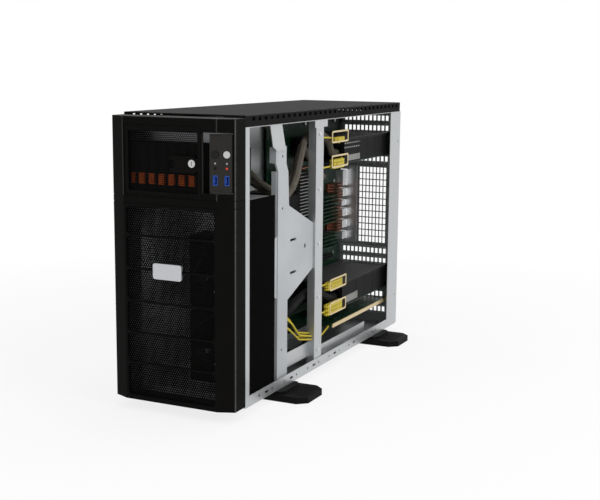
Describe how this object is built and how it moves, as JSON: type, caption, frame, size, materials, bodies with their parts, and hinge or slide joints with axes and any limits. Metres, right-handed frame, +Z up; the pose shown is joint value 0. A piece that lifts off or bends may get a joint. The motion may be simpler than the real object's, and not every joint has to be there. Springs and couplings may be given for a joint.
{
  "type": "tower gpu server",
  "caption": "Tower server with its side cover off: meshed bezel and drive door, fans, cards, leads, rear power modules and outrigger feet.",
  "frame": {"origin": "centre of the bounding box, on the plane that the feet stand on", "axes": "+Z up, -Y out of the front bezel, +X out of the open side"},
  "size_m": [0.332, 0.712, 0.476],
  "materials": {
    "bezel_plastic": "fine moulded texture",
    "grille_black": "perforated, black",
    "lock_metal": "satin",
    "badge_satin": "blank satin plate",
    "button_dark": "smooth",
    "usb_blue": "smooth blue",
    "lamp_red": "clear lens",
    "cover_black": "black powder coat",
    "zinc_steel": "bright galvanised",
    "baffle_black": "plain matte black",
    "grey_steel": "matt grey",
    "foot_rubberised": "black moulding",
    "screw_steel": "plated",
    "fan_plastic": "black",
    "cage_black": "dark grey",
    "latch_orange": "orange",
    "board_green": "solder mask",
    "standoff_brass": "turned",
    "socket_black": "moulded",
    "fin_aluminium": "plain",
    "copper_fin": "copper",
    "card_black": "matt black",
    "champagne_trim": "champagne",
    "bracket_nickel": "nickel plated",
    "psu_steel": "zinc plated",
    "psu_latch_red": "dark red",
    "sleeve_grey_brown": "woven sleeve",
    "sleeve_black": "corrugated",
    "wire_yellow": "insulation"
  },
  "bodies": {
    "chassis": {"bezel_frame": "bezel_plastic", "lower_grille": "grille_black", "badge_plate": "badge_satin", "control_panel": "bezel_plastic", "usb_ports": "usb_blue", "panel_lamps": "lamp_red", "top_cover": "cover_black", "roof_panel": "zinc_steel", "left_wall": "zinc_steel", "floor_pan": "zinc_steel", "front_wall": "zinc_steel", "rear_panel": "zinc_steel", "board_tray": "zinc_steel", "fan_wall": "zinc_steel", "side_baffle": "baffle_black", "k_bracket": "grey_steel", "upper_tab": "zinc_steel", "post": "zinc_steel", "foot_front_right": "foot_rubberised", "foot_front_left": "foot_rubberised", "foot_rear_right": "foot_rubberised", "foot_rear_left": "foot_rubberised", "screws": "screw_steel", "fan_1_frame": "fan_plastic", "fan_2_frame": "fan_plastic", "mid_fan_frame": "fan_plastic", "drive_cage": "cage_black", "drive_carriers": "cage_black", "carrier_latches": "latch_orange", "backplane": "board_green", "motherboard": "board_green", "board_standoffs": "standoff_brass", "board_sockets": "socket_black", "cooler_1": "fin_aluminium", "cooler_2": "fin_aluminium", "memory_modules": "board_green", "vrm_heatsinks": "copper_fin", "gpu_1": "card_black", "gpu_2": "card_black", "card_boards": "board_green", "card_trims": "champagne_trim", "card_brackets": "bracket_nickel", "slot_covers": "bracket_nickel", "io_shield": "bracket_nickel", "psu_cage": "zinc_steel", "sleeved_bundles": "sleeve_grey_brown", "black_bundles": "sleeve_black", "yellow_wires": "wire_yellow"},
    "door": {"bezel_door": "bezel_plastic", "door_mesh": "grille_black"},
    "door_lock": {"door_lock": "lock_metal"},
    "power_button": {"power_button": "lock_metal"},
    "reset_button": {"reset_button": "button_dark"},
    "fan_1_rotor": {"fan_1_rotor": "fan_plastic"},
    "fan_2_rotor": {"fan_2_rotor": "fan_plastic"},
    "mid_fan_rotor": {"mid_fan_rotor": "fan_plastic"},
    "psu_1": {"psu_1": "psu_steel"},
    "psu_2": {"psu_2": "psu_steel"},
    "psu_1_latch": {"psu_1_latch": "psu_latch_red"},
    "psu_2_latch": {"psu_2_latch": "psu_latch_red"}
  },
  "joints": [
    {"name": "door_hinge", "type": "hinge", "parent": "chassis", "child": "door", "pos_m": [-0.077, -0.3526, 0.405], "axis": [0, 0, 1], "range_deg": [-110, 0]},
    {"name": "door_lock_turn", "type": "hinge", "parent": "door", "child": "door_lock", "pos_m": [0.0405, -0.351, 0.403], "axis": [0, 1, 0], "range_deg": [0, 90]},
    {"name": "power_press", "type": "slide", "parent": "chassis", "child": "power_button", "axis": [-0.2283, 0.9736, 0], "range_m": [0, 0.0015], "stiffness_N_per_m": 600},
    {"name": "reset_press", "type": "slide", "parent": "chassis", "child": "reset_button", "axis": [-0.2283, 0.9736, 0], "range_m": [0, 0.0015], "stiffness_N_per_m": 600},
    {"name": "fan_1_spin", "type": "hinge", "parent": "chassis", "child": "fan_1_rotor", "pos_m": [0.038, -0.239, 0.092], "axis": [0, 1, 0], "continuous": true},
    {"name": "fan_2_spin", "type": "hinge", "parent": "chassis", "child": "fan_2_rotor", "pos_m": [0.038, -0.239, 0.218], "axis": [0, 1, 0], "continuous": true},
    {"name": "mid_fan_spin", "type": "hinge", "parent": "chassis", "child": "mid_fan_rotor", "pos_m": [0.04, -0.089, 0.286], "axis": [0, 1, 0], "continuous": true},
    {"name": "psu_1_pull", "type": "slide", "parent": "chassis", "child": "psu_1", "axis": [0, 1, 0], "range_m": [0, 0.3]},
    {"name": "psu_1_latch_press", "type": "slide", "parent": "psu_1", "child": "psu_1_latch", "axis": [-1, 0, 0], "range_m": [0, 0.003], "stiffness_N_per_m": 500},
    {"name": "psu_2_pull", "type": "slide", "parent": "chassis", "child": "psu_2", "axis": [0, 1, 0], "range_m": [0, 0.3]},
    {"name": "psu_2_latch_press", "type": "slide", "parent": "psu_2", "child": "psu_2_latch", "axis": [-1, 0, 0], "range_m": [0, 0.003], "stiffness_N_per_m": 500}
  ]
}
